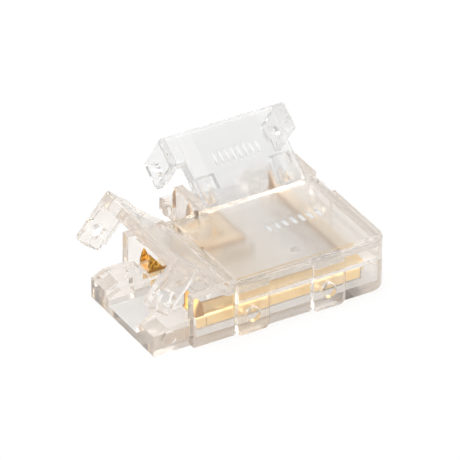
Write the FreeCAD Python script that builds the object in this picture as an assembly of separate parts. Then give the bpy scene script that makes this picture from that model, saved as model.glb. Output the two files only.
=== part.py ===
import FreeCAD, Part

import os
from math import cos, hypot, radians, sin

# L-shaped snap connector that joins two flat LED strips at a right angle.
# Every piece is drawn in millimetres about the point on the underside where the centre
# lines of the two strips cross. The left arm runs along -X and the back arm along +Y.
# An arm is drawn once, outwards along +X from that point, with +Y on the inside of the L,
# and is then mirrored to the left or turned to the back.

# The strip and the channel that takes it
strip_width = 10.0
strip_side_gap = 0.2
wall = 1.0
floor = 0.75
body_height = 5.2
strip_plane = 2.6

# Reach of each flap hinge from the crossing point, and what lies beyond it
left_hinge = 9.75
back_hinge = 6.46
wall_run = 3.9
tray_run = 3.55
tray_inset = 0.7
corner_radius = 1.7
bottom_round = 0.25
top_round = 0.2

# Rails that carry the strip and the contacts
rail_lip = 0.57
ramp_rise = 0.6
ramp_run = 1.25
rail_step = 0.6
ledge_width = 0.5
ledge_drop = 0.55

# Contacts, folded from sheet
sheet = 0.25
contact_side_gap = 0.45
contact_width = 1.75
contact_setback = 0.77
flange_drop = 1.3
bend_radius = 0.5
outer_flange_gap = 0.45
inner_flange_gap = 0.25
fin_height = 1.75
fin_base = 1.4
fin_setback = 0.13
leaf_height = 1.4
leaf_width = 0.8
leaf_shoulder = 0.1
leaf_setback = 0.1
flange_slit = 0.12
slit_setback = 1.05
barb_depth = 1.2
barb_base = 1.1

# Cover
cover_plate = 1.0
seat_height = 3.1
panel_depth = 0.1
panel_side_border = 0.93
panel_front_border = 1.1
panel_hinge_border = 0.4
panel_slope = 0.34
dimple_radius = 0.5
dimple_depth = 0.3
dimple_x = -1.93
dimple_y = -3.61

# Snap tabs of the cover and the round bosses that hold them
tab_width = 3.15
tab_thickness = 0.6
tab_proud = 0.25
tab_side_gap = 0.22
tab_corner = 0.5
tab_lift = 0.05
tab_boss_height = 1.85
tab_boss_radius = 0.68
tab_boss_proud = 0.1
tab_boss_root = 0.12
shoulder_drop = 0.75
shoulder_depth = 0.55
front_tab_left = -7.75
front_tab_right = -0.08
right_tab = 4.5

# Flaps
flap_plate = 1.3
flap_overhang = 0.15
flap_side_gap = 0.12
hinge_pin_radius = 0.38
hinge_pin_length = 0.35
ear_width = 2.85
ear_lift = 0.05
ear_gap = 0.04
ear_corner = 0.4
ear_proud = 0.25
ear_boss_setback = 1.55
ear_boss_height = 1.55
ear_boss_radius = 0.68
ear_boss_proud = 0.3
flap_panel_depth = 0.12
flap_panel_side = 1.33
flap_panel_root = 1.1
flap_edge_round = 0.3
flap_corner = 0.3
press_gap = 0.25
press_start = 0.55
press_end = 3.3
left_open_angle = 40.6
back_open_angle = 34.0

# Clearances
fit_gap = 0.04
pin_clearance = 0.05
tooth_clearance = 0.15
overcut = 1.0

# Values worked out from the sizes above
half = strip_width / 2 + strip_side_gap + wall
channel = half - wall
tray_half = half - tray_inset
knuckle_radius = flap_plate / 2
hinge_height = body_height - knuckle_radius
cover_setback = knuckle_radius + fit_gap
contact_bed = strip_plane - sheet
ear_half = half + ear_proud
flap_under = body_height - flap_plate
boss_clearance = pin_clearance + fit_gap / 2
contact_outer = channel - contact_side_gap
contact_inner = contact_outer - contact_width
pad_edge = contact_outer - bend_radius
leaf_inner = contact_outer - sheet - fit_gap
slot_half = contact_inner - rail_lip
flap_reach = wall_run + tray_run + flap_overhang
ear_boss_run = flap_reach - ear_boss_setback
left_wall_end = left_hinge + wall_run
back_wall_end = back_hinge + wall_run


def block(x0, x1, y0, y1, z0, z1):
    corner = FreeCAD.Vector(x0, y0, z0)
    return Part.makeBox(x1 - x0, y1 - y0, z1 - z0, corner)


def prism(points, depth):
    """Solid on a closed outline of points, pushed along the vector depth."""
    corners = [FreeCAD.Vector(*p) for p in points]
    outline = Part.makePolygon(corners + corners[:1])
    return Part.Face(outline).extrude(FreeCAD.Vector(*depth))


def rod_across(u, z, radius, v0, v1):
    """Cylinder whose axis lies across an arm."""
    return Part.makeCylinder(radius, v1 - v0, FreeCAD.Vector(u, v0, z), FreeCAD.Vector(0, 1, 0))


def fused(shapes):
    return shapes[0].multiFuse(shapes[1:]).removeSplitter() if len(shapes) > 1 else shapes[0]


def both_sides(shape):
    other = shape.mirror(FreeCAD.Vector(0, 0, 0), FreeCAD.Vector(0, 1, 0))
    return [shape, other]


def on_left(shape):
    """Mirror an arm drawn along +X so that it runs along -X."""
    return shape.mirror(FreeCAD.Vector(0, 0, 0), FreeCAD.Vector(1, 0, 0))


def on_back(shape):
    """Turn an arm drawn along +X so that it runs along +Y."""
    turned = shape.copy()
    turned.rotate(FreeCAD.Vector(0, 0, 0), FreeCAD.Vector(0, 0, 1), 90)
    return turned


def round_edges(shape, radius, wanted):
    """Fillet each straight edge that the test wanted(middle, direction) accepts."""
    chosen = []
    for edge in shape.Edges:
        if edge.Degenerated or not isinstance(edge.Curve, (Part.Line, Part.LineSegment)):
            continue
        middle = edge.valueAt((edge.FirstParameter + edge.LastParameter) / 2)
        direction = edge.tangentAt(edge.FirstParameter)
        if wanted(middle, direction):
            chosen.append(edge)
    return shape.makeFillet(radius, chosen) if chosen else shape


def near(a, b):
    return abs(a - b) < 1e-4


def plan_l(inset, z0, z1):
    """L-shaped block over the body, its outer faces moved in by inset, open at both arm ends."""
    side = half - inset
    left = block(-left_wall_end, side, -side, side, z0, z1)
    back = block(-side, side, -side, back_wall_end, z0, z1)
    return left.fuse(back).removeSplitter()


def plan_cover(gap, outward, z0, z1):
    """Block over the covered part of the body: gap moves the hinge edges, outward the side faces."""
    left_edge = -(left_hinge - cover_setback) - gap
    back_edge = back_hinge - cover_setback + gap
    side = half + outward
    main = block(left_edge, side, -side, back_edge, z0, z1)
    strip = block(left_edge, -half, -side, side, z0, z1)
    return main.fuse(strip).removeSplitter()


def rail_section(u, drop):
    """Section of a tray rail at u, with its ledge beside the slot and its top lowered by drop."""
    top = strip_plane - drop
    points = [
        (slot_half, floor / 2), (slot_half, top - ledge_drop), (slot_half + ledge_width, top - ledge_drop),
        (slot_half + ledge_width, top), (tray_half, top), (tray_half, floor / 2),
    ]
    corners = [FreeCAD.Vector(u, v, z) for v, z in points]
    return Part.makePolygon(corners + corners[:1])


def tray(hinge):
    """Open end of an arm: floor, the ends of two rails with lead-in ramps, and the ear bosses."""
    start = hinge + wall_run - rail_step
    end = hinge + wall_run + tray_run
    plate = block(start, end, -tray_half, tray_half, 0, floor)
    sections = [rail_section(start, 0), rail_section(end - ramp_run, 0), rail_section(end, ramp_rise)]
    rail = Part.makeLoft(sections, True, True)
    boss_u = hinge + ear_boss_run
    boss = rod_across(boss_u, ear_boss_height, ear_boss_radius,
                      tray_half - fit_gap, tray_half + ear_boss_proud)
    return fused([plate] + both_sides(rail) + both_sides(boss))


def contact_rails(near_side, top):
    """Rails under the two contacts, from arm to arm, starting near_side off the strip's centre line."""
    side = pad_edge
    left_end = -(left_wall_end - rail_step)
    back_end = back_wall_end - rail_step
    outer = [
        (left_end, -side), (side, -side), (side, back_end),
        (near_side, back_end), (near_side, -near_side), (left_end, -near_side),
    ]
    inner = [
        (left_end, near_side), (-near_side, near_side), (-near_side, back_end),
        (-side, back_end), (-side, side), (left_end, side),
    ]
    rise = (0, 0, top - floor / 2)
    return [prism([(x, y, floor / 2) for x, y in plan], rise) for plan in (outer, inner)]


def barb_slot(hinge):
    """Slot in a rail for the barb that holds the end of a contact down."""
    end = hinge + wall_run - contact_setback - fin_setback
    return block(end - barb_base - fit_gap, end + fit_gap,
                 contact_inner - fit_gap, contact_inner + sheet + fit_gap,
                 contact_bed - barb_depth - fit_gap, contact_bed + overcut)


def hinge_sockets(hinge):
    """Blind holes in the side walls for the hinge pins of a flap."""
    depth = channel + hinge_pin_length + fit_gap
    socket = rod_across(hinge, hinge_height, hinge_pin_radius + pin_clearance, channel - overcut, depth)
    return both_sides(socket)


def tab_sites():
    """Each snap tab: the turn about Z that takes +X to its face, its place along that face and its width."""
    far_edge = -front_tab_left + tab_width / 2
    near_edge = half + tab_side_gap
    return [
        (-90, front_tab_left, tab_width),
        (-90, front_tab_right, tab_width),
        (0, right_tab, tab_width),
        (90, (far_edge + near_edge) / 2, far_edge - near_edge),
    ]


def at_tab(shape, turn, along):
    """Move a shape drawn on the +X face, centred on Y = 0, to the tab's place on its own face."""
    moved = shape.copy()
    moved.translate(FreeCAD.Vector(0, along, 0))
    moved.rotate(FreeCAD.Vector(0, 0, 0), FreeCAD.Vector(0, 0, 1), turn)
    return moved


def tab_recess(width):
    """Space in the wall behind a snap tab, open at the face and at both ends."""
    reach = width / 2 + tab_side_gap
    inner = half + tab_proud - tab_thickness - fit_gap
    return block(inner, half + overcut, -reach, reach, -overcut, body_height + overcut)


def tab_boss():
    """Round boss that snaps into the hole of a tab."""
    inner = half + tab_proud - tab_thickness - tab_boss_root
    outer = half + tab_proud + tab_boss_proud
    start = FreeCAD.Vector(inner, 0, tab_boss_height)
    return Part.makeCylinder(tab_boss_radius, outer - inner, start, FreeCAD.Vector(1, 0, 0))


def make_base():
    body = plan_l(0, 0, body_height)
    body = round_edges(body, corner_radius, lambda m, d: near(m.x, half) and near(m.y, -half))
    body = round_edges(body, bottom_round, lambda m, d: near(m.z, 0))
    body = body.cut(plan_l(wall, floor, body_height + overcut))
    body = body.cut(plan_cover(fit_gap, overcut, seat_height, body_height + overcut))
    rails = contact_rails(slot_half, strip_plane - ledge_drop)
    rails += contact_rails(slot_half + ledge_width, contact_bed)
    body = fused([body, on_left(tray(left_hinge)), on_back(tray(back_hinge))] + rails)
    for slot in both_sides(barb_slot(left_hinge)):
        body = body.cut(on_left(slot))
    for slot in both_sides(barb_slot(back_hinge)):
        body = body.cut(on_back(slot))
    for turn, along, width in tab_sites():
        body = body.cut(at_tab(tab_recess(width), turn, along))
    bosses = [at_tab(tab_boss(), turn, along) for turn, along, width in tab_sites()]
    body = fused([body] + bosses)
    for socket in hinge_sockets(left_hinge):
        body = body.cut(on_left(socket))
    for socket in hinge_sockets(back_hinge):
        body = body.cut(on_back(socket))
    return body


def make_cover():
    top = plan_cover(0, 0, seat_height + fit_gap, body_height)
    top = round_edges(top, corner_radius, lambda m, d: near(m.x, half) and near(m.y, -half))
    top = round_edges(top, top_round, lambda m, d: near(m.z, body_height) and on_outer_face(m))
    top = top.cut(cover_hollow())
    top = top.cut(panel_recess())
    top = top.cut(dimple())
    tabs = [at_tab(snap_tab(width), turn, along) for turn, along, width in tab_sites()]
    top = fused([top] + tabs)
    for turn, along, width in tab_sites():
        top = top.cut(at_tab(tab_cuts(width), turn, along))
    return top


def on_outer_face(point):
    """True on the faces of the cover that are flush with the outside of the body."""
    return near(point.x, half) or near(abs(point.y), half)


def cover_hollow():
    """Space inside the skirt of the cover, open towards both arms."""
    left_edge = -(left_hinge - cover_setback) - overcut
    back_edge = back_hinge - cover_setback + overcut
    top = body_height - cover_plate
    left = block(left_edge, channel, -channel, channel, 0, top)
    back = block(-channel, channel, -channel, back_edge, 0, top)
    return left.fuse(back)


def panel_recess():
    """Shallow recess of the frosted panel, with sloping sides."""
    left = -(left_hinge - cover_setback) + panel_hinge_border
    right = half - panel_side_border
    front = -half + panel_front_border
    back = back_hinge - cover_setback - panel_hinge_border

    def outline(spread, z):
        corners = [
            FreeCAD.Vector(left - spread, front - spread, z),
            FreeCAD.Vector(right + spread, front - spread, z),
            FreeCAD.Vector(right + spread, back + spread, z),
            FreeCAD.Vector(left - spread, back + spread, z),
        ]
        return Part.makePolygon(corners + corners[:1])

    return Part.makeLoft([outline(0, body_height - panel_depth), outline(panel_slope, body_height)], True)


def dimple():
    """Ball that leaves the round dent of the gate mark in the panel."""
    ball = (dimple_radius ** 2 + dimple_depth ** 2) / (2 * dimple_depth)
    centre = FreeCAD.Vector(dimple_x, dimple_y, body_height - panel_depth - dimple_depth + ball)
    return Part.makeSphere(ball, centre)


def snap_tab(width):
    reach = width / 2
    outer = half + tab_proud
    inner = outer - tab_thickness
    tab = block(inner, outer, -reach, reach, tab_lift, body_height)
    return round_edges(tab, tab_corner, lambda m, d: near(m.z, tab_lift) and near(abs(d.x), 1))


def tab_cuts(width):
    """Sloping shoulder above a tab, and the hole in it."""
    outer = half + tab_proud
    reach = width / 2
    side_view = [
        (half - shoulder_depth, -reach, body_height),
        (outer, -reach, body_height - shoulder_drop),
        (outer + overcut, -reach, body_height - shoulder_drop),
        (outer + overcut, -reach, body_height + overcut),
        (half - shoulder_depth, -reach, body_height + overcut),
    ]
    shoulder = prism(side_view, (0, width, 0))
    start = FreeCAD.Vector(outer - tab_thickness - fit_gap, 0, tab_boss_height)
    outward = FreeCAD.Vector(1, 0, 0)
    hole = Part.makeCylinder(tab_boss_radius + pin_clearance, tab_thickness + overcut, start, outward)
    return shoulder.fuse(hole)


def flange(length):
    """Bent-down edge of a contact along +X, outer face at Y = 0, with the bend at its top."""
    inner_radius = bend_radius - sheet
    centre = FreeCAD.Vector(0, -bend_radius, strip_plane - bend_radius)

    def on_arc(radius, degrees):
        a = radians(degrees)
        return centre + FreeCAD.Vector(0, radius * cos(a), radius * sin(a))

    low = strip_plane - flange_drop
    outer_arc = Part.Arc(on_arc(bend_radius, 90), on_arc(bend_radius, 45), on_arc(bend_radius, 0))
    inner_arc = Part.Arc(on_arc(inner_radius, 0), on_arc(inner_radius, 45), on_arc(inner_radius, 90))
    down = Part.LineSegment(on_arc(bend_radius, 0), FreeCAD.Vector(0, 0, low))
    across = Part.LineSegment(FreeCAD.Vector(0, 0, low), FreeCAD.Vector(0, -sheet, low))
    up = Part.LineSegment(FreeCAD.Vector(0, -sheet, low), on_arc(inner_radius, 0))
    close = Part.LineSegment(on_arc(inner_radius, 90), on_arc(bend_radius, 90))
    wire = Part.Wire([piece.toShape() for piece in (outer_arc, down, across, up, inner_arc, close)])
    profile = Part.Face(wire)
    strip = profile.extrude(FreeCAD.Vector(length, 0, 0))
    return strip


def contact_leg(hinge, corner, flange_start):
    """Leg of a contact on the +Y side of an arm: pad, flange, teeth and barb, from corner outwards."""
    end = hinge + wall_run - contact_setback
    pad = block(corner, end, contact_inner, pad_edge, contact_bed, strip_plane)
    edge = flange(end - flange_start)
    edge.translate(FreeCAD.Vector(flange_start, contact_outer, 0))
    slit_end = end - slit_setback
    slit = block(slit_end - flange_slit, slit_end, pad_edge, contact_outer + overcut,
                 0, strip_plane - bend_radius)
    edge = edge.cut(slit)
    fin_end = end - fin_setback
    fin_view = [
        (fin_end, contact_inner, contact_bed), (fin_end, contact_inner, strip_plane + fin_height),
        (fin_end - fin_base, contact_inner, strip_plane), (fin_end - fin_base, contact_inner, contact_bed),
    ]
    fin = prism(fin_view, (0, sheet, 0))
    barb_view = [
        (fin_end, contact_inner, strip_plane), (fin_end, contact_inner, contact_bed - barb_depth),
        (fin_end - barb_base, contact_inner, contact_bed), (fin_end - barb_base, contact_inner, strip_plane),
    ]
    barb = prism(barb_view, (0, sheet, 0))
    return fused([pad, edge, fin, barb, leaf(end)])


def leaf(end):
    """Tooth with a lancet outline, bent up beside the outer edge of the pad."""
    right = end - leaf_setback
    left = right - leaf_width
    tip = FreeCAD.Vector((left + right) / 2, 0, strip_plane + leaf_height)
    low_left = FreeCAD.Vector(left, 0, contact_bed)
    low_right = FreeCAD.Vector(right, 0, contact_bed)
    bulge = leaf_height / 2 + strip_plane
    side_left = FreeCAD.Vector(left + leaf_shoulder, 0, bulge)
    side_right = FreeCAD.Vector(right - leaf_shoulder, 0, bulge)
    edges = [
        Part.Arc(low_left, side_left, tip).toShape(),
        Part.Arc(tip, side_right, low_right).toShape(),
        Part.LineSegment(low_right, low_left).toShape(),
    ]
    tooth = Part.Face(Part.Wire(edges)).extrude(FreeCAD.Vector(0, sheet, 0))
    tooth.translate(FreeCAD.Vector(0, leaf_inner, 0))
    return tooth


def across(shape):
    """Move a leg from the inside of the L to its outside."""
    return shape.mirror(FreeCAD.Vector(0, 0, 0), FreeCAD.Vector(0, 1, 0))


def make_outer_contact():
    """Contact that follows the outside of the L, with its corner plate."""
    start = -pad_edge
    left = on_left(across(contact_leg(left_hinge, start, start + outer_flange_gap)))
    back = on_back(across(contact_leg(back_hinge, start, start + outer_flange_gap)))
    return fused([left, back])


def make_inner_contact():
    """Contact that follows the inside of the L."""
    flange_start = contact_outer + inner_flange_gap
    left = on_left(contact_leg(left_hinge, contact_inner, flange_start))
    back = on_back(contact_leg(back_hinge, contact_inner, flange_start))
    return fused([left, back])


def ear(hinge):
    """Side ear of a flap on the +Y side, with its hole and the groove that lets the boss pass."""
    end = hinge + flap_reach
    inner_face = tray_half + ear_gap
    plate = block(end - ear_width, end, inner_face, ear_half, ear_lift, body_height - fit_gap)
    plate = round_edges(plate, ear_corner, lambda m, d: near(m.z, ear_lift) and near(abs(d.y), 1))
    boss_u = hinge + ear_boss_run
    radius = ear_boss_radius + boss_clearance
    hole = rod_across(boss_u, ear_boss_height, radius, inner_face - overcut, ear_half + overcut)
    path = hypot(boss_u - hinge, ear_boss_height - hinge_height)
    groove_face = tray_half + ear_boss_proud + fit_gap
    ring = rod_across(hinge, hinge_height, path + radius, inner_face - overcut, groove_face)
    ring = ring.cut(rod_across(hinge, hinge_height, path - radius, inner_face - overcut, groove_face))
    below = block(hinge, end + overcut, 0, ear_half + overcut, -overcut, ear_boss_height)
    return plate.cut(hole).cut(ring.common(below))


def press_block(hinge):
    """Block under a flap that pushes the strip's pads down between the teeth."""
    inner = contact_inner + sheet + tooth_clearance
    outer = leaf_inner - tooth_clearance
    low = strip_plane + press_gap
    return block(hinge + press_start, hinge + press_end, inner, outer, low, flap_under + fit_gap)


def tooth_pockets(hinge):
    """Pockets in the underside of a flap for the tips of the teeth on the +Y side."""
    end = hinge + wall_run - contact_setback
    fin_end = end - fin_setback
    leaf_end = end - leaf_setback
    gap = tooth_clearance
    low = flap_under - overcut
    fin = block(fin_end - fin_base, fin_end + gap, contact_inner - gap, contact_inner + sheet + gap,
                low, strip_plane + fin_height + gap)
    tip = block(leaf_end - leaf_width - gap, leaf_end + gap, leaf_inner - gap, leaf_inner + sheet + gap,
                low, strip_plane + leaf_height + gap)
    return [fin, tip]


def make_flap(hinge, opening):
    """Flap drawn closed along +X and then opened about its hinge by the angle opening."""
    end = hinge + flap_reach
    wide_start = end - ear_width
    narrow = channel - flap_side_gap
    root = block(hinge, wide_start + fit_gap, -narrow, narrow, flap_under, body_height)
    knuckle = rod_across(hinge, hinge_height, knuckle_radius, -narrow, narrow)
    pin_end = channel + hinge_pin_length
    pin = rod_across(hinge, hinge_height, hinge_pin_radius, -pin_end, pin_end)
    wide = block(wide_start, end, -ear_half, ear_half, flap_under, body_height)
    body = fused([root, knuckle, pin, wide] + both_sides(ear(hinge)) + both_sides(press_block(hinge)))
    body = round_edges(body, flap_corner,
                       lambda m, d: near(m.x, end) and near(abs(m.y), ear_half) and near(abs(d.z), 1))
    body = round_edges(body, flap_edge_round,
                       lambda m, d: near(m.x, end) and near(m.z, body_height) and near(abs(d.y), 1))
    for tooth in tooth_pockets(hinge):
        for pocket in both_sides(tooth):
            body = body.cut(pocket)
    panel_half = half - flap_panel_side
    panel = block(hinge + flap_panel_root, end + overcut, -panel_half, panel_half,
                  body_height - flap_panel_depth, body_height + overcut)
    body = body.cut(panel)
    body.rotate(FreeCAD.Vector(hinge, 0, hinge_height), FreeCAD.Vector(0, -1, 0), opening)
    return body


nodes = {
    "base_housing": make_base(),
    "top_cover": make_cover(),
    "outer_contact": make_outer_contact(),
    "inner_contact": make_inner_contact(),
    "left_flap": on_left(make_flap(left_hinge, left_open_angle)),
    "back_flap": on_back(make_flap(back_hinge, back_open_angle)),
}

os.makedirs("parts", exist_ok=True)
for name, shape in nodes.items():
    solids = shape.Solids
    print(name, len(solids), "solids, valid", shape.isValid(), "volume", round(shape.Volume, 3))
    shape.exportStep("parts/" + name + ".step")
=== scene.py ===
from collections import namedtuple
from math import cos, radians, sin

import bmesh
import bpy
from mathutils import Matrix, Vector


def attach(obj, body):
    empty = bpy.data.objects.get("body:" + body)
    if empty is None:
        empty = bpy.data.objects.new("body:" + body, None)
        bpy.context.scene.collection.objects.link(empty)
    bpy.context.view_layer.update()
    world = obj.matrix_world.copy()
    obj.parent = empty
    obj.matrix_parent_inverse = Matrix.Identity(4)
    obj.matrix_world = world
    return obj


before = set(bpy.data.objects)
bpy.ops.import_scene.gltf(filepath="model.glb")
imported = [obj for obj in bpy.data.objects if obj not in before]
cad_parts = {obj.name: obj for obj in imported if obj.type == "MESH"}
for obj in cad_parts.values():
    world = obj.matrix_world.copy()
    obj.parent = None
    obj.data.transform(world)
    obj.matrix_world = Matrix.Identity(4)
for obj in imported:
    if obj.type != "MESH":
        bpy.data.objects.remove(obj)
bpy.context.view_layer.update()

# Lengths are in metres. The frame's origin is on the underside, where the strips' centre lines cross.
MM = 0.001
ORIGIN = Vector((0, 0, 0))
LEFT = Vector((-1, 0, 0))
RIGHT = Vector((1, 0, 0))
FRONT = Vector((0, -1, 0))
BACK = Vector((0, 1, 0))
UP = Vector((0, 0, 1))

# An etched face: how rough it is, a point on it, where it faces, how much painted shade darkens it, its reach
# across
Etched = namedtuple("Etched", "rough point normal dimmed across reach", defaults=(0.0, None, None))

# An open flap: its hinge, where it points, where its top faces, and the direction across it
Flap = namedtuple("Flap", "pivot outward normal across")

# A clear plastic: its surface, the colour that its inside lets through, how dense that is, and the haze in it
Plastic = namedtuple("Plastic", "colour clarity inside density haze")

Bars = namedtuple("Bars", "count pitch length width")
Lamp = namedtuple("Lamp", "place size power")

# Camera, fitted to the photograph. Its focal length is in the photograph's pixels.
IMAGE_SIDE = 460
FOCAL_PIXELS = 6848.1
SENSOR = 36.0
AZIMUTH = radians(-30.653)
ELEVATION = radians(32.544)
ROLL = radians(0.494)
DISTANCE = 600 * MM
TARGET = Vector((-3.57, -0.2, 3.0)) * MM
SHIFT_RIGHT = -2.514 * MM
SHIFT_UP = 2.332 * MM
NEAREST_SEEN = 10 * MM

# Where the mouldings' faces lie
FLOOR_TOP = 0.75 * MM
BODY_TOP = 5.2 * MM
BODY_HALF = 6.2 * MM
COVER_PANEL_DEPTH = 0.1 * MM
FLAP_PANEL_DEPTH = 0.12 * MM
SHOULDER_OUT = 6.45 * MM
SHOULDER_LOW = 4.45 * MM
SHOULDER_RUN = 0.8 * MM
HINGE_HEIGHT = 4.55 * MM
LEFT_HINGE = 9.75 * MM
BACK_HINGE = 6.46 * MM
LEFT_OPEN = radians(40.6)
BACK_OPEN = radians(34.0)
FLAP_TOP_RISE = BODY_TOP - HINGE_HEIGHT
FLAP_PANEL_RISE = FLAP_TOP_RISE - FLAP_PANEL_DEPTH
FACE_TOLERANCE = 0.02 * MM

# Etched faces: how rough each is, how much painted shade darkens it, and how far it reaches to each side
UNDERSIDE_ROUGH = 0.1
CORNER_ROUGH = 0.3
CORNER_REACH = 3.4 * MM
TRAY_ROUGH = 0.12
TRAY_PAINTED_SHADE = 0.2
RIGHT_SIDE_ROUGH = 0.2
COVER_PANEL_ROUGH = 0.22
COVER_PANEL_PAINTED_SHADE = 0.05
SHOULDER_ROUGH = 0.18
FLAP_TOP_ROUGH = 0.15
FLAP_PANEL_ROUGH = 0.18
FLAP_PANEL_REACH = 3.4 * MM
BACK_PANEL_PAINTED_SHADE = 0.08

# Noises: the size of the patches and the detail in them
GLOSS_NOISE = (1.6 * MM, 2.0)
CLOUD_NOISE = (1.2 * MM, 3.0)
WAVE_NOISE = (2.2 * MM, 2.0)
ETCH_NOISE = (0.08 * MM, 2.0)
BAR_NOISE = (0.3 * MM, 2.0)
SHEET_NOISE = (0.5 * MM, 6.0)
TOOTH_REFLECTION_NOISE = (0.3 * MM, 4.0)
# Patches of the painted reflection on the far left teeth
RUBBED_NOISE = (0.2 * MM, 4.0)

# Clear plastic
PLASTIC_IOR = 1.45
GLOSS_ROUGHNESS = (0.01, 0.05)
CLOUD_SHADES = (0.97, 1.03)
ETCH_SHARES = (0.8, 1.2)
WAVE_STRENGTH = 0.03
WAVE_DEPTH = 0.03 * MM
HAZE_COLOUR = (1.0, 0.965, 0.925)
BASE_PLASTIC = Plastic(
    colour=(0.985, 0.975, 0.963), clarity=1.0, inside=(0.88, 0.75, 0.62), density=100, haze=90)
COVER_PLASTIC = Plastic(
    colour=(0.975, 0.96, 0.94), clarity=0.97, inside=(0.86, 0.74, 0.62), density=50, haze=80)
LEFT_FLAP_PLASTIC = Plastic(
    colour=(0.95, 0.92, 0.89), clarity=0.95, inside=(0.88, 0.76, 0.64), density=70, haze=120)
BACK_FLAP_PLASTIC = Plastic(
    colour=(0.92, 0.918, 0.913), clarity=0.95, inside=(0.85, 0.83, 0.8), density=40, haze=160)

# What is left of a lamp's light after one face of the plastic
LAMP_TINT = (0.995, 0.99, 0.98)

# The cover is this colour at its left end, and turns to its own over the run
COVER_BLUSH = (1.0, 0.93, 0.83)
BLUSH_END = -7.5 * MM
BLUSH_RUN = 6.0 * MM

# Contacts: gold sheet, painted shade along the pads' edges, painted light on the pads behind the front strip
# and painted dark reflections and glints on the far left teeth
PAD_TOP = 2.6 * MM
CONTACT_INNER = 3.0 * MM
CONTACT_OUTER = 4.75 * MM
EDGE_FADE = 0.3 * MM
FAR_TEETH_FROM = 14.5 * MM
GOLD_DEEP = (1.0, 0.70, 0.32)
GOLD_PALE = (1.0, 0.81, 0.50)
# Painted shade: brown along the pads' edges
GOLD_EDGE_PAINTED_SHADE = (0.42, 0.20, 0.05)
GOLD_ROUGHNESS = (0.22, 0.38)
# Painted light: the pads' tops behind the front strip are this paler gold
PAD_PAINTED_LIGHT = (1.0, 0.87, 0.70)
# Painted dark reflections and glints, in patches, on the far left teeth
TOOTH_PAINTED_DARK_REFLECTION = (0.30, 0.13, 0.02)
TOOTH_PAINTED_GLINT = (0.95, 0.55, 0.12)
TOOTH_REFLECTION_FROM = 0.42
TOOTH_REFLECTION_RUN = 0.16

# Rows of raised bars, in opaque white that paints their glints
COVER_BARS = Bars(count=7, pitch=0.85 * MM, length=1.1 * MM, width=0.4 * MM)
COVER_BARS_PLACE = Vector((0.4, 0.6, 0)) * MM
COVER_BARS_GLINT_WHITE = (0.90, 0.89, 0.88)
COVER_BARS_ROUGH = 0.2
FLAP_BARS = Bars(count=8, pitch=0.62 * MM, length=1.3 * MM, width=0.32 * MM)
FLAP_BARS_OUT = 4.25 * MM
FLAP_BARS_LEFT = 0.1 * MM
FLAP_BARS_GLINT_WHITE = (1.0, 1.0, 1.0)
FLAP_BARS_ROUGH = 0.12
BAR_RISE = 0.05 * MM
BAR_BEVEL_SHARE = 0.45
BAR_BEVEL_STEPS = 3

# The sky: it is seen to turn from white to dim between two heights, and it lights things evenly
SKY_WHITE_UP_TO = 0.35
SKY_DIM_FROM = 0.85
SKY_WHITE = 1.0
SKY_DIM = 0.4
SKY_LIGHT = 0.6

# The white table
TABLE_HALF = 1.5
TABLE_DROP = 0.02 * MM
TABLE_GREY = (0.9, 0.9, 0.9)
TABLE_ROUGHNESS = 0.9
TABLE_GLOW = 1.08
TABLE_GLOW_SHARE = 0.7

# Square lamps, each with its side in metres and its power in watts
SOFT_TOP = Lamp(place=(-0.15, 0.1, 0.5), size=0.5, power=0.9)
SOFT_FRONT = Lamp(place=(0.22, -0.4, 0.21), size=0.27, power=0.88)
SMALL_BACK = Lamp(place=(-0.175, 0.3625, 0.295), size=0.12, power=0.2)

# How often light may bounce among the clear walls, and within their haze
BOUNCES = 48
HAZE_BOUNCES = 24


def shader_tree(name):
    """A new node material with its shader and output joined."""
    material = bpy.data.materials.new(name)
    material.use_nodes = True
    tree = material.node_tree
    tree.nodes.clear()
    output = tree.nodes.new("ShaderNodeOutputMaterial")
    shader = tree.nodes.new("ShaderNodeBsdfPrincipled")
    tree.links.new(shader.outputs["BSDF"], output.inputs["Surface"])
    return material, tree, shader, output


def feed(tree, value, socket):
    """Join a node's output to the socket, or set the socket to a plain value."""
    if hasattr(value, "is_linked"):
        tree.links.new(value, socket)
    else:
        socket.default_value = value


def show_mix(tree, output, factor, first, second):
    """Show the first shader where the factor is nought, and the second where it is one."""
    mix = tree.nodes.new("ShaderNodeMixShader")
    tree.links.new(factor, mix.inputs["Fac"])
    tree.links.new(first.outputs[0], mix.inputs[1])
    tree.links.new(second.outputs[0], mix.inputs[2])
    tree.links.new(mix.outputs["Shader"], output.inputs["Surface"])


def object_point(tree):
    """The shaded point's place in the frame."""
    return tree.nodes.new("ShaderNodeTexCoord").outputs["Object"]


def math_node(tree, operation, *values):
    """One step of arithmetic on numbers or nodes' outputs."""
    node = tree.nodes.new("ShaderNodeMath")
    node.operation = operation
    for value, socket in zip(values, node.inputs):
        feed(tree, value, socket)
    return node.outputs[0]


def noise(tree, size, detail):
    """Soft random patches from nought to one."""
    node = tree.nodes.new("ShaderNodeTexNoise")
    node.inputs["Scale"].default_value = 1 / size
    node.inputs["Detail"].default_value = detail
    tree.links.new(object_point(tree), node.inputs["Vector"])
    return node.outputs["Fac"]


def ranged(tree, value, low, high):
    """A value from nought to one, spread from low to high."""
    node = tree.nodes.new("ShaderNodeMapRange")
    node.inputs["To Min"].default_value = low
    node.inputs["To Max"].default_value = high
    tree.links.new(value, node.inputs["Value"])
    return node.outputs["Result"]


def step_up(tree, value, start, run):
    """Nought below start, rising to one over run."""
    node = tree.nodes.new("ShaderNodeMapRange")
    node.inputs["From Min"].default_value = start
    node.inputs["From Max"].default_value = start + run
    tree.links.new(value, node.inputs["Value"])
    return node.outputs["Result"]


def scaled(tree, colour, factor):
    """A colour times a varying factor."""
    node = tree.nodes.new("ShaderNodeVectorMath")
    node.operation = "SCALE"
    node.inputs[0].default_value = colour
    tree.links.new(factor, node.inputs["Scale"])
    return node.outputs["Vector"]


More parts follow.
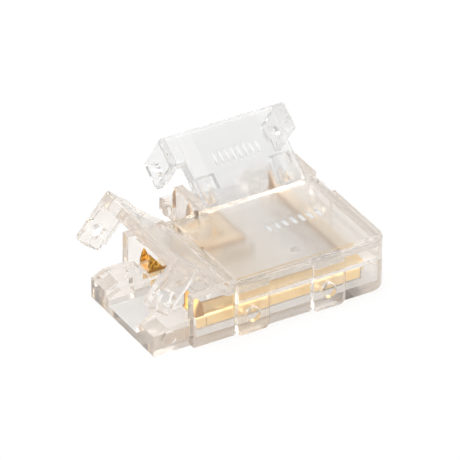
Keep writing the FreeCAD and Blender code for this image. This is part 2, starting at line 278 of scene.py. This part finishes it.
def blended(tree, factor, a, b):
    """Mix of two colours, each a plain colour or a node's output."""
    node = tree.nodes.new("ShaderNodeMix")
    node.data_type = "RGBA"
    tree.links.new(factor, node.inputs["Factor"])
    for name, colour in (("A", a), ("B", b)):
        opaque = (*colour, 1) if isinstance(colour, tuple) else colour
        feed(tree, opaque, node.inputs[name])
    return node.outputs["Result"]


def height_above(tree, point, normal):
    """Distance of the shaded point from the plane through point that faces along normal."""
    away = tree.nodes.new("ShaderNodeVectorMath")
    away.operation = "SUBTRACT"
    tree.links.new(object_point(tree), away.inputs[0])
    away.inputs[1].default_value = point
    dot = tree.nodes.new("ShaderNodeVectorMath")
    dot.operation = "DOT_PRODUCT"
    tree.links.new(away.outputs["Vector"], dot.inputs[0])
    dot.inputs[1].default_value = normal
    return dot.outputs["Value"]


def on_face(tree, face):
    """One on the etched face, nought elsewhere and further than its reach across it."""
    offset = math_node(tree, "ABSOLUTE", height_above(tree, face.point, face.normal))
    on_plane = math_node(tree, "LESS_THAN", offset, FACE_TOLERANCE)
    if face.across is None:
        return on_plane
    sideways = math_node(tree, "ABSOLUTE", height_above(tree, face.point, face.across))
    return math_node(tree, "MULTIPLY", on_plane, math_node(tree, "LESS_THAN", sideways, face.reach))


def let_lamps_through(tree, shader, output):
    """Light from the lamps reaches what lies inside the plastic."""
    path = tree.nodes.new("ShaderNodeLightPath")
    clear = tree.nodes.new("ShaderNodeBsdfTransparent")
    clear.inputs["Color"].default_value = (*LAMP_TINT, 1)
    show_mix(tree, output, path.outputs["Is Shadow Ray"], shader, clear)


def fill(tree, output, plastic):
    """The inside of the plastic: it takes a little colour from the light and scatters a little."""
    volume = tree.nodes.new("ShaderNodeVolumeAbsorption")
    volume.inputs["Color"].default_value = (*plastic.inside, 1)
    volume.inputs["Density"].default_value = plastic.density
    scatter = tree.nodes.new("ShaderNodeVolumeScatter")
    scatter.inputs["Color"].default_value = (*HAZE_COLOUR, 1)
    scatter.inputs["Density"].default_value = plastic.haze
    both = tree.nodes.new("ShaderNodeAddShader")
    tree.links.new(volume.outputs["Volume"], both.inputs[0])
    tree.links.new(scatter.outputs["Volume"], both.inputs[1])
    tree.links.new(both.outputs["Shader"], output.inputs["Volume"])


def waves(tree):
    """The slight waves of a moulded surface."""
    bump = tree.nodes.new("ShaderNodeBump")
    bump.inputs["Strength"].default_value = WAVE_STRENGTH
    bump.inputs["Distance"].default_value = WAVE_DEPTH
    tree.links.new(noise(tree, *WAVE_NOISE), bump.inputs["Height"])
    return bump.outputs["Normal"]


def moulded(name, plastic, faces, blush=None):
    """Clear moulded plastic with its etched faces, some darkened with painted shade. A blush is the colour of
    its left end.
    """
    material, tree, shader, output = shader_tree(name)
    let_lamps_through(tree, shader, output)
    fill(tree, output, plastic)
    shader.inputs["Transmission Weight"].default_value = plastic.clarity
    shader.inputs["IOR"].default_value = PLASTIC_IOR
    shade = 1.0
    roughness = ranged(tree, noise(tree, *GLOSS_NOISE), *GLOSS_ROUGHNESS)
    grain = ranged(tree, noise(tree, *ETCH_NOISE), *ETCH_SHARES)
    for face in faces:
        here = on_face(tree, face)
        # Painted shade: the colour is darker on the etched faces that are given some
        shade = math_node(tree, "SUBTRACT", shade, math_node(tree, "MULTIPLY", here, face.dimmed))
        etched = math_node(tree, "MULTIPLY", math_node(tree, "MULTIPLY", here, face.rough), grain)
        roughness = math_node(tree, "ADD", roughness, etched)
    clouds_and_painted_shade = math_node(tree, "MULTIPLY", shade, ranged(tree, noise(tree, *CLOUD_NOISE), *CLOUD_SHADES))
    colour = scaled(tree, plastic.colour, clouds_and_painted_shade)
    if blush is not None:
        past_left_end = step_up(tree, height_above(tree, ORIGIN, RIGHT), BLUSH_END, BLUSH_RUN)
        colour = blended(tree, past_left_end, scaled(tree, blush, clouds_and_painted_shade), colour)
    tree.links.new(colour, shader.inputs["Base Color"])
    tree.links.new(roughness, shader.inputs["Roughness"])
    tree.links.new(waves(tree), shader.inputs["Normal"])
    return material


def across_contact(tree):
    """Distance of the shaded point from the centre line of the strip that its contact lies beside."""
    split = tree.nodes.new("ShaderNodeSeparateXYZ")
    tree.links.new(object_point(tree), split.inputs["Vector"])
    left = math_node(tree, "MULTIPLY", split.outputs["X"], -1.0)
    front = math_node(tree, "MULTIPLY", split.outputs["Y"], -1.0)
    inner = math_node(tree, "MINIMUM", left, split.outputs["Y"])
    outer = math_node(tree, "MAXIMUM", split.outputs["X"], front)
    return math_node(tree, "MAXIMUM", inner, outer)


def pad_edges(tree, on_top):
    """One along the edges of the pads, where painted shade goes, nought elsewhere."""
    across = across_contact(tree)
    inner_edge = math_node(tree, "SUBTRACT", 1.0, step_up(tree, across, CONTACT_INNER, EDGE_FADE))
    outer_edge = step_up(tree, across, CONTACT_OUTER - EDGE_FADE, EDGE_FADE)
    return math_node(tree, "MULTIPLY", math_node(tree, "MAXIMUM", inner_edge, outer_edge), on_top)


def far_left_teeth(tree, height):
    """One on the teeth where left plus back is largest, at the end of the left arm, nought elsewhere."""
    far_left = step_up(tree, height_above(tree, ORIGIN, LEFT + BACK), FAR_TEETH_FROM, EDGE_FADE)
    return math_node(tree, "MULTIPLY", far_left, step_up(tree, height, PAD_TOP, EDGE_FADE))


def gilt_metal():
    """Gold-tinted sheet, with painted light on the pads, painted shade along their edges, and painted dark
    reflections and glints on the far left teeth.
    """
    material, tree, shader, _ = shader_tree("contact_metal")
    height = height_above(tree, ORIGIN, UP)
    on_top = step_up(tree, height, PAD_TOP - EDGE_FADE, EDGE_FADE / 2)
    behind = step_up(tree, height_above(tree, ORIGIN, BACK), -CONTACT_INNER, EDGE_FADE)
    gold_and_painted_light = blended(tree, noise(tree, *SHEET_NOISE), GOLD_DEEP, GOLD_PALE)
    # Painted light: paler gold on the pads' tops behind the front strip
    gold_and_painted_light = blended(tree, math_node(tree, "MULTIPLY", on_top, behind), gold_and_painted_light, PAD_PAINTED_LIGHT)
    # Painted shade: brown along the pads' edges
    gold_and_painted_light = blended(tree, pad_edges(tree, on_top), gold_and_painted_light, GOLD_EDGE_PAINTED_SHADE)
    # Painted dark reflections and glints on the far left teeth
    painted_reflection_mottle = step_up(tree, noise(tree, *TOOTH_REFLECTION_NOISE), TOOTH_REFLECTION_FROM, TOOTH_REFLECTION_RUN)
    teeth_painted_reflection = blended(tree, painted_reflection_mottle, TOOTH_PAINTED_DARK_REFLECTION, TOOTH_PAINTED_GLINT)
    colour = blended(tree, far_left_teeth(tree, height), gold_and_painted_light, teeth_painted_reflection)
    tree.links.new(colour, shader.inputs["Base Color"])
    shader.inputs["Metallic"].default_value = 1.0
    roughness = ranged(tree, noise(tree, *RUBBED_NOISE), *GOLD_ROUGHNESS)
    tree.links.new(roughness, shader.inputs["Roughness"])
    return material


def glint_white_plastic(name, colour, rough):
    """Opaque pale plastic whose white paints the glints of raised bars."""
    material, tree, shader, _ = shader_tree(name)
    shader.inputs["Base Color"].default_value = (*colour, 1)
    shader.inputs["IOR"].default_value = PLASTIC_IOR
    roughness = ranged(tree, noise(tree, *BAR_NOISE), rough, 2 * rough)
    tree.links.new(roughness, shader.inputs["Roughness"])
    return material


def in_scene(name, data):
    """A new object in the scene."""
    made = bpy.data.objects.new(name, data)
    bpy.context.scene.collection.objects.link(made)
    return made


def raised_bars(name, bars, centre, along, across, normal, material):
    """Row of low rounded bars, half sunk in a face: the row runs along, each bar lies across."""
    build = bmesh.new()
    thickness = 2 * BAR_RISE
    for index in range(bars.count):
        offset = (index - (bars.count - 1) / 2) * bars.pitch
        made = bmesh.ops.create_cube(build, size=1.0)
        sides = (along * bars.width, across * bars.length, normal * thickness)
        place = Matrix(sides).transposed().to_4x4()
        place.translation = centre + along * offset
        bmesh.ops.transform(build, matrix=place, verts=made["verts"])
    bevel = BAR_BEVEL_SHARE * min(bars.width, thickness)
    bmesh.ops.bevel(build, geom=build.edges[:], offset=bevel, segments=BAR_BEVEL_STEPS, affect="EDGES")
    mesh = bpy.data.meshes.new(name)
    build.to_mesh(mesh)
    build.free()
    for face in mesh.polygons:
        face.use_smooth = True
    mesh.materials.append(material)
    return in_scene(name, mesh)


def make_cover_bars():
    """Plain moulded bars on the cover's panel, in white that paints their glints."""
    centre = COVER_BARS_PLACE + UP * (BODY_TOP - COVER_PANEL_DEPTH)
    material = glint_white_plastic("glint_white_cover", COVER_BARS_GLINT_WHITE, COVER_BARS_ROUGH)
    cover = raised_bars("cover_bars", COVER_BARS, centre, RIGHT, BACK, UP, material)
    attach(cover, "housing")


def make_flap_bars(back_flap):
    """Plain moulded bars on the back flap's panel, in white that paints their glints."""
    centre = back_flap.pivot + back_flap.outward * FLAP_BARS_OUT + back_flap.normal * FLAP_PANEL_RISE
    centre += LEFT * FLAP_BARS_LEFT
    material = glint_white_plastic("glint_white_flap", FLAP_BARS_GLINT_WHITE, FLAP_BARS_ROUGH)
    flap = raised_bars("flap_bars", FLAP_BARS, centre, RIGHT, back_flap.outward, back_flap.normal, material)
    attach(flap, "back_flap")


def dress(node, material):
    """Give a solid of the frame its finish."""
    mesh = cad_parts[node].data
    mesh.materials.clear()
    mesh.materials.append(material)


def base_faces():
    """Etched faces of the base: underside, its strip along the right side, tray floors darkened with painted
    shade, right side.
    """
    right_side = RIGHT * BODY_HALF
    return (
        Etched(UNDERSIDE_ROUGH, ORIGIN, UP),
        Etched(CORNER_ROUGH, right_side, UP, across=RIGHT, reach=CORNER_REACH),
        Etched(TRAY_ROUGH, UP * FLOOR_TOP, UP, dimmed=TRAY_PAINTED_SHADE),
        Etched(RIGHT_SIDE_ROUGH, right_side, RIGHT),
    )


def cover_faces():
    """Etched faces of the cover: its sunk panel, darkened with painted shade, and its shoulders at the front,
    right and back.
    """
    panel = UP * (BODY_TOP - COVER_PANEL_DEPTH)
    faces = [Etched(COVER_PANEL_ROUGH, panel, UP, dimmed=COVER_PANEL_PAINTED_SHADE)]
    for outward in (FRONT, RIGHT, BACK):
        edge = outward * SHOULDER_OUT + UP * SHOULDER_LOW
        slope = outward * (BODY_TOP - SHOULDER_LOW) + UP * SHOULDER_RUN
        faces.append(Etched(SHOULDER_ROUGH, edge, slope.normalized()))
    return faces


def open_flap(arm, across, hinge, angle):
    """The flap on an arm, its hinge that far out along the arm, standing open by the angle."""
    pivot = arm * hinge + UP * HINGE_HEIGHT
    outward = arm * cos(angle) + UP * sin(angle)
    normal = UP * cos(angle) - arm * sin(angle)
    return Flap(pivot, outward, normal, across)


def flap_faces(flap, dimmed=0.0):
    """Etched faces of an open flap: its top, and the sunk panel in it, darkened with painted shade by the
    given amount.
    """
    top = flap.pivot + flap.normal * FLAP_TOP_RISE
    panel = flap.pivot + flap.normal * FLAP_PANEL_RISE
    return (
        Etched(FLAP_TOP_ROUGH, top, flap.normal),
        Etched(FLAP_PANEL_ROUGH, panel, flap.normal, dimmed, flap.across, FLAP_PANEL_REACH),
    )


def seen_directly(tree):
    """One for camera, mirror and see-through rays, nought for the light that falls on things."""
    path = tree.nodes.new("ShaderNodeLightPath")
    seen = math_node(tree, "MAXIMUM", path.outputs["Is Camera Ray"], path.outputs["Is Glossy Ray"])
    return math_node(tree, "MAXIMUM", seen, path.outputs["Is Transmission Ray"])


def make_world():
    """A sky that is seen white and dims overhead, and lights things evenly."""
    world = bpy.data.worlds.new("studio")
    world.use_nodes = True
    tree = world.node_tree
    background = tree.nodes["Background"]
    background.inputs["Color"].default_value = (1, 1, 1, 1)
    split = tree.nodes.new("ShaderNodeSeparateXYZ")
    tree.links.new(tree.nodes.new("ShaderNodeTexCoord").outputs["Generated"], split.inputs["Vector"])
    overhead = step_up(tree, split.outputs["Z"], SKY_WHITE_UP_TO, SKY_DIM_FROM - SKY_WHITE_UP_TO)
    sky = ranged(tree, overhead, SKY_WHITE, SKY_DIM)
    seen = seen_directly(tree)
    shown = math_node(tree, "MULTIPLY", sky, seen)
    lit = math_node(tree, "MULTIPLY", math_node(tree, "SUBTRACT", 1.0, seen), SKY_LIGHT)
    tree.links.new(math_node(tree, "ADD", shown, lit), background.inputs["Strength"])
    bpy.context.scene.world = world


def make_floor():
    """White table that shows pure white where nothing shades it."""
    mesh = bpy.data.meshes.new("floor")
    signs = ((-1, -1), (1, -1), (1, 1), (-1, 1))
    corners = [(x * TABLE_HALF, y * TABLE_HALF, -TABLE_DROP) for x, y in signs]
    mesh.from_pydata(corners, [], [(0, 1, 2, 3)])
    floor = in_scene("floor", mesh)
    material, tree, shader, output = shader_tree("white_table")
    shader.inputs["Base Color"].default_value = (*TABLE_GREY, 1)
    shader.inputs["Roughness"].default_value = TABLE_ROUGHNESS
    glow = tree.nodes.new("ShaderNodeEmission")
    glow.inputs["Strength"].default_value = TABLE_GLOW
    share = ranged(tree, seen_directly(tree), 0.0, TABLE_GLOW_SHARE)
    show_mix(tree, output, share, shader, glow)
    mesh.materials.append(material)


def area_light(name, lamp):
    """A square lamp that faces the connector. The camera doesn't see it."""
    data = bpy.data.lights.new(name, "AREA")
    data.shape = "SQUARE"
    data.size = lamp.size
    data.energy = lamp.power
    light = in_scene(name, data)
    light.location = lamp.place
    light.rotation_euler = (ORIGIN - Vector(lamp.place)).to_track_quat("-Z", "Y").to_euler()
    light.visible_camera = False
    return light


def make_lamps():
    """Two soft lamps that sparkle in the plastic, and a small one that doesn't show through it."""
    area_light("soft_top", SOFT_TOP)
    area_light("soft_front", SOFT_FRONT)
    small_back = area_light("small_back", SMALL_BACK)
    small_back.visible_transmission = False


def make_camera():
    """The photograph's camera, at its angle and place."""
    forward = Vector((-sin(AZIMUTH) * cos(ELEVATION), cos(AZIMUTH) * cos(ELEVATION), -sin(ELEVATION)))
    level = Vector((cos(AZIMUTH), sin(AZIMUTH), 0))
    rise = level.cross(forward)
    right = cos(ROLL) * level + sin(ROLL) * rise
    up = -sin(ROLL) * level + cos(ROLL) * rise
    eye = TARGET - forward * DISTANCE + right * SHIFT_RIGHT + up * SHIFT_UP
    data = bpy.data.cameras.new("camera")
    data.sensor_width = SENSOR
    data.lens = FOCAL_PIXELS / IMAGE_SIDE * SENSOR
    data.clip_start = NEAREST_SEEN
    camera = in_scene("camera", data)
    camera.matrix_world = Matrix.Translation(eye) @ Matrix((right, up, -forward)).transposed().to_4x4()
    bpy.context.scene.camera = camera


def allow_bounces():
    """Enough bounces for the light to get out of the clear walls again."""
    cycles = bpy.context.scene.cycles
    cycles.max_bounces = BOUNCES
    cycles.transmission_bounces = BOUNCES
    cycles.glossy_bounces = BOUNCES
    cycles.transparent_max_bounces = BOUNCES
    cycles.volume_bounces = HAZE_BOUNCES


left_flap = open_flap(LEFT, BACK, LEFT_HINGE, LEFT_OPEN)
back_flap = open_flap(BACK, RIGHT, BACK_HINGE, BACK_OPEN)

dress("base_housing", moulded("clear_base", BASE_PLASTIC, base_faces()))
dress("top_cover", moulded("clear_cover", COVER_PLASTIC, cover_faces(), COVER_BLUSH))
dress("left_flap", moulded("clear_left_flap", LEFT_FLAP_PLASTIC, flap_faces(left_flap)))
dress("back_flap", moulded("clear_back_flap", BACK_FLAP_PLASTIC, flap_faces(back_flap, BACK_PANEL_PAINTED_SHADE)))
contact = gilt_metal()
dress("outer_contact", contact)
dress("inner_contact", contact)

make_cover_bars()
make_flap_bars(back_flap)

make_world()
make_floor()
make_lamps()
allow_bounces()
make_camera()
bpy.context.scene.view_settings.view_transform = "Standard"
